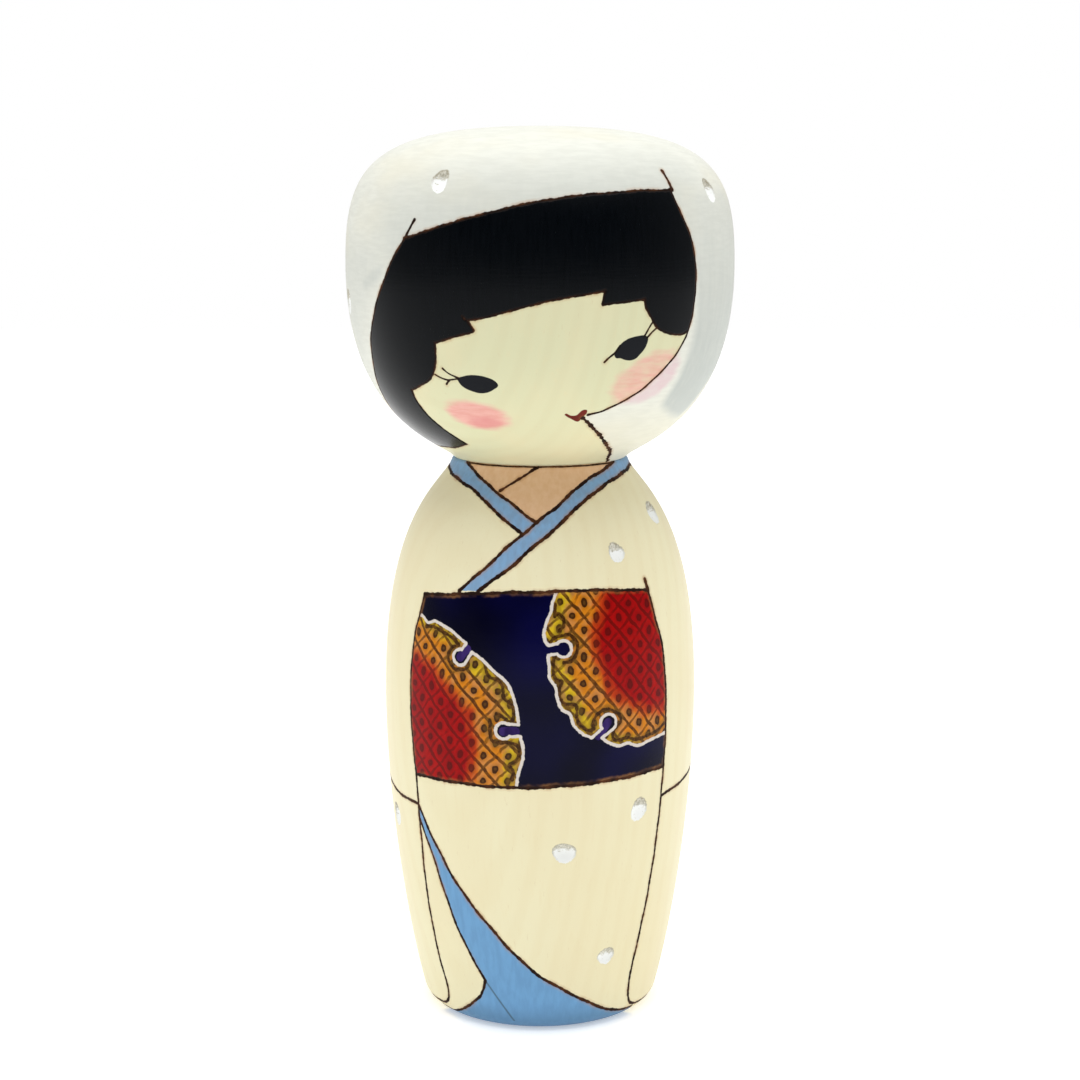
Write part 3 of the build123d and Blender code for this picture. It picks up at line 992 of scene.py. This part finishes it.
def head_material():
    material, p = new_material("head_paint", gloss=0.085)
    tone, fibres = wood(p, (211, 210, 174), (207, 203, 166))
    brush = p.noise(0.5, (6, 6, 1), shift=2.0)
    strokes = p.between(brush, 0.3, 0.7)
    ragged = p.noise(1.2, (2.2, 2.2, 0.7))
    blush = p.between(p.jitter(p.field("blush"), ragged, 0.3), 0.02, 0.42)
    heavy = p.between(p.jitter(p.field("blush_low"), ragged, 0.4), 0.0, 0.6)
    rose = p.mix(strokes, (230, 168, 162), (222, 148, 144))
    rose = p.mix(p.times(heavy, 0.6), rose, (214, 118, 126))
    tone = p.mix(p.times(blush, 0.85), tone, rose)
    # Hood: thin white paint brushed round the head, greyer where a broad brush shaded it, and with painted
    # shade above the fringe
    white = p.mix(strokes, (224, 225, 216), (216, 217, 208))
    thin = p.between(p.noise(9, (1.6, 1.6, 1), detail=2.0, shift=1.0), 0.45, 0.8)
    white = p.mix(p.times(thin, 0.4), white, (224, 219, 198))
    # Darker and creamier towards the bottom of the hood: partly thin paint, partly painted shade low on the
    # head
    white = p.mix(p.times(p.between(p.height(), 99.0, 90.0), 0.45), white, (216, 211, 186))
    streaks = p.noise(0.9, (1, 1, 9), shift=3.0)
    # Grey from the brush washes and from the painted shade above the fringe
    shade = p.jitter(p.field("shade"), streaks, p.times(p.field("shade"), 0.5))
    white = p.mix(shade, white, (186, 191, 187))
    white = p.mix(blush, white, (216, 190, 194))
    hood = p.area("hood")
    tone = p.mix(p.times(hood, 0.96), tone, white)
    black = p.mix(p.noise(0.4, (1, 1, 12), detail=2.0, shift=4.0), (2, 4, 6), (9, 12, 16))
    hair = p.area("hair")
    tone = p.mix(hair, tone, black)
    eyes = p.area("eyes")
    tone = p.mix(eyes, tone, (18, 20, 25))
    tone = p.mix(p.area("lips"), tone, p.mix(brush, (120, 38, 28), (84, 30, 22)))
    tone, groove = burned(p, tone, p.math("MAXIMUM", hair, eyes))
    p.put(snowed(p, tone), p.shader.inputs["Base Color"])
    finish = p.mix_value(hood, 0.36, 0.46)
    finish = p.mix_value(hair, finish, 0.22)
    p.finish(finish, groove)
    p.grain(fibres, 0.3)
    return material


def peg_material():
    """Bare wood of the peg, a little darker than the outside."""
    material, p = new_material("peg_wood")
    tone, fibres = wood(p, (224, 204, 158), (214, 190, 142))
    p.put(tone, p.shader.inputs["Base Color"])
    p.put(p.math("ADD", p.times(fibres, 0.2), 0.5), p.shader.inputs["Roughness"])
    p.bump(fibres, 0.03)
    return material


# ---- the pieces
BASE_STEP = 0.5
base, outer, inner = body_outline()
body_surface = Turned("painted_body", [base], outer, [inner[:2], inner[1:3], inner[2:]], BASE_STEP)
painted_body = make_piece(body_surface, draw_body, BODY_SNOW, body_material())

inner, outer = head_outline()
head_surface = Turned("painted_head", [inner[:2], inner[1:3], inner[2:]], outer, [], BASE_STEP)
painted_head = make_piece(head_surface, draw_head, HEAD_SNOW, head_material())

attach(painted_body, "body")
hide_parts("body")
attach(painted_head, "head")
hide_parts("head")
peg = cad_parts["neck_peg"]
peg.data.materials.clear()
peg.data.materials.append(peg_material())


# ---- studio
# Light from the room in front of the doll and from its sides and back, and what the paper adds itself
ROOM_LIGHT = (0.5, 0.9)
FLOOR_GLOW = 0.34
FLOOR_REACH = 1.6
OVERHEAD_POWER = 2.7
OVERHEAD_PLACE = (0, -0.05, 0.7)
OVERHEAD_AIM = (0, 0, 0.07)
CAMERA_PLACE = (0, -0.3275, 0.127)
CAMERA_TILT = 9.38
CAMERA_LENS = 71.3


def make_floor():
    mesh = bpy.data.meshes.new("studio_floor")
    corners = [(x * FLOOR_REACH, y * FLOOR_REACH, 0) for x, y in ((-1, -1), (1, -1), (1, 1), (-1, 1))]
    mesh.from_pydata(corners, [], [(0, 1, 2, 3)])
    floor = bpy.data.objects.new("studio_floor", mesh)
    bpy.context.scene.collection.objects.link(floor)
    material, p = new_material("floor_paper")
    tooth = p.noise(1.5)
    paper = p.mix(p.times(tooth, 0.3), (250, 250, 249), (244, 244, 243))
    p.put(paper, p.shader.inputs["Base Color"])
    p.shader.inputs["Roughness"].default_value = 0.9
    p.shader.inputs["Emission Color"].default_value = (1, 1, 1, 1)
    p.shader.inputs["Emission Strength"].default_value = FLOOR_GLOW
    floor.data.materials.append(material)


def make_light():
    """A broad lamp overhead, a little in front of the doll and aimed at its middle."""
    data = bpy.data.lights.new("overhead", "AREA")
    data.shape = "DISK"
    data.size = 0.6
    data.energy = OVERHEAD_POWER
    light = bpy.data.objects.new("overhead", data)
    light.location = OVERHEAD_PLACE
    aim = np.array(OVERHEAD_AIM) - np.array(OVERHEAD_PLACE)
    light.rotation_euler = Vector(aim).to_track_quat("-Z", "Y").to_euler()
    bpy.context.scene.collection.objects.link(light)


def make_world():
    """A pale room: even light, and reflections that are dark to the front and bright overhead."""
    world = bpy.data.worlds.new("room")
    bpy.context.scene.world = world
    world.use_nodes = True
    p = Painter(world.node_tree)
    split = p.add("ShaderNodeSeparateXYZ")
    p.put(p.coordinates.outputs["Generated"], split.inputs[0])
    front_to_back = p.between(split.outputs["Y"], -0.7, 1.0)
    sides = p.between(p.math("ABSOLUTE", split.outputs["X"]), 0.5, 1.0)
    level = p.math("ADD", p.times(front_to_back, 0.5), p.times(sides, 0.15))
    above = p.times(p.between(split.outputs["Z"], 0.35, 0.9), 1.1)
    reflected = p.math("MAXIMUM", level, above)
    lit = p.mix_value(p.between(split.outputs["Y"], -1.0, 0.0), *ROOM_LIGHT)
    rays = p.add("ShaderNodeLightPath")
    strength = p.mix_value(rays.outputs["Is Glossy Ray"], lit, reflected)
    strength = p.mix_value(rays.outputs["Is Camera Ray"], strength, 1.0)
    background = world.node_tree.nodes["Background"]
    background.inputs["Color"].default_value = (1, 1, 1, 1)
    p.put(strength, background.inputs["Strength"])


def make_camera():
    """The viewing angle: a little above the neck, tilted down at the doll."""
    data = bpy.data.cameras.new("camera")
    data.sensor_width = 36.0
    data.lens = CAMERA_LENS
    camera = bpy.data.objects.new("camera", data)
    camera.location = CAMERA_PLACE
    camera.rotation_euler = (math.radians(90 - CAMERA_TILT), 0, 0)
    bpy.context.scene.collection.objects.link(camera)
    bpy.context.scene.camera = camera


make_floor()
make_world()
make_camera()
make_light()
bpy.context.scene.view_settings.view_transform = "Standard"
bpy.context.scene.view_settings.look = "None"
